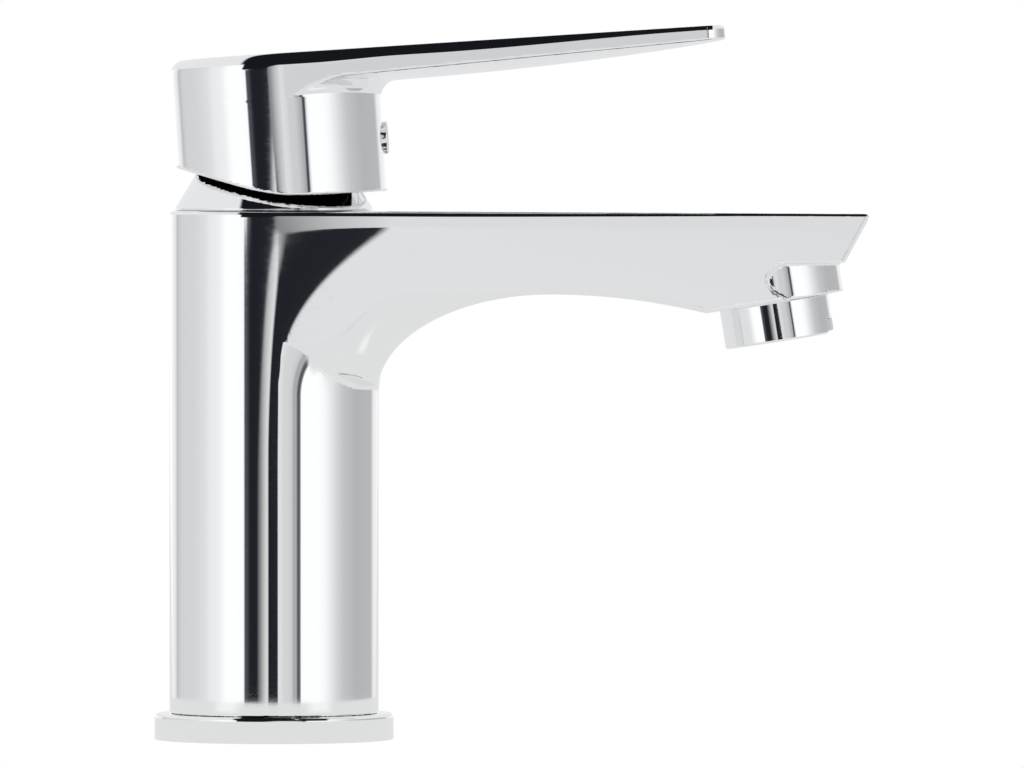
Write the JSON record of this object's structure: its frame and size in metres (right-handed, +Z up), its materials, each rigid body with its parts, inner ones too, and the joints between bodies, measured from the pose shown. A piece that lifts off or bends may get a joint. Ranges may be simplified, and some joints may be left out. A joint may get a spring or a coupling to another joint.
{
  "type": "basin mixer faucet",
  "caption": "Single-lever basin mixer with a round column, a flat tapering spout, a tilted aerator and a flat lever handle over a ceramic cartridge.",
  "frame": {"origin": "centre of the base on the deck, on the column's axis", "axes": "+Z up along the column, +X along the spout, over the basin, +Y to the left of the spout"},
  "size_m": [0.1552, 0.052, 0.1553],
  "materials": {
    "chrome": "polished chrome plate",
    "plug_chrome": "bright moulded plug, chromed",
    "brass": "turned brass",
    "rubber": "black nitrile, satin",
    "cartridge_plastic": "moulded ivory plastic",
    "base_plastic": "moulded grey plastic",
    "carrier_plastic": "moulded blue plastic",
    "limit_plastic": "moulded red plastic",
    "insert_plastic": "translucent white plastic",
    "ceramic": "lapped alumina, off-white",
    "steel": "stainless steel",
    "regulator_rubber": "green elastomer"
  },
  "bodies": {
    "faucet_body": {"body_casting": "chrome", "base_flange": "chrome", "flange_o_ring": "rubber", "base_gasket": "rubber", "retaining_nut": "brass", "dome_cover": "chrome", "dome_o_ring": "rubber", "cartridge_housing": "cartridge_plastic", "cartridge_base": "base_plastic", "port_seals": "rubber", "housing_o_ring": "rubber", "fixed_disc": "ceramic", "aerator_shell": "chrome", "aerator_gasket": "rubber", "aerator_insert": "insert_plastic", "aerator_screens": "steel", "flow_regulator": "regulator_rubber"},
    "turret": {"spindle_guide": "cartridge_plastic", "guide_o_ring": "rubber", "spindle_pin": "steel", "hot_limit_ring": "limit_plastic"},
    "lever": {"spindle": "brass", "handle": "chrome", "grub_screw": "steel", "indicator_plug": "plug_chrome"},
    "discs": {"moving_disc": "ceramic", "disc_carrier": "carrier_plastic"}
  },
  "joints": [
    {"name": "handle_swivel", "type": "hinge", "parent": "faucet_body", "child": "turret", "pos_m": [0, 0, 0.114], "axis": [0, 0, 1], "range_deg": [-45, 45]},
    {"name": "handle_lift", "type": "hinge", "parent": "turret", "child": "lever", "pos_m": [0, 0, 0.114], "axis": [0, -1, 0], "range_deg": [0, 20]},
    {"name": "disc_slide", "type": "slide", "parent": "turret", "child": "discs", "axis": [1, 0, 0], "range_m": [0, 0.0038]}
  ],
  "couplings": [
    {"joint": "disc_slide", "follows": "handle_lift", "m_per_rad": 0.0104}
  ]
}
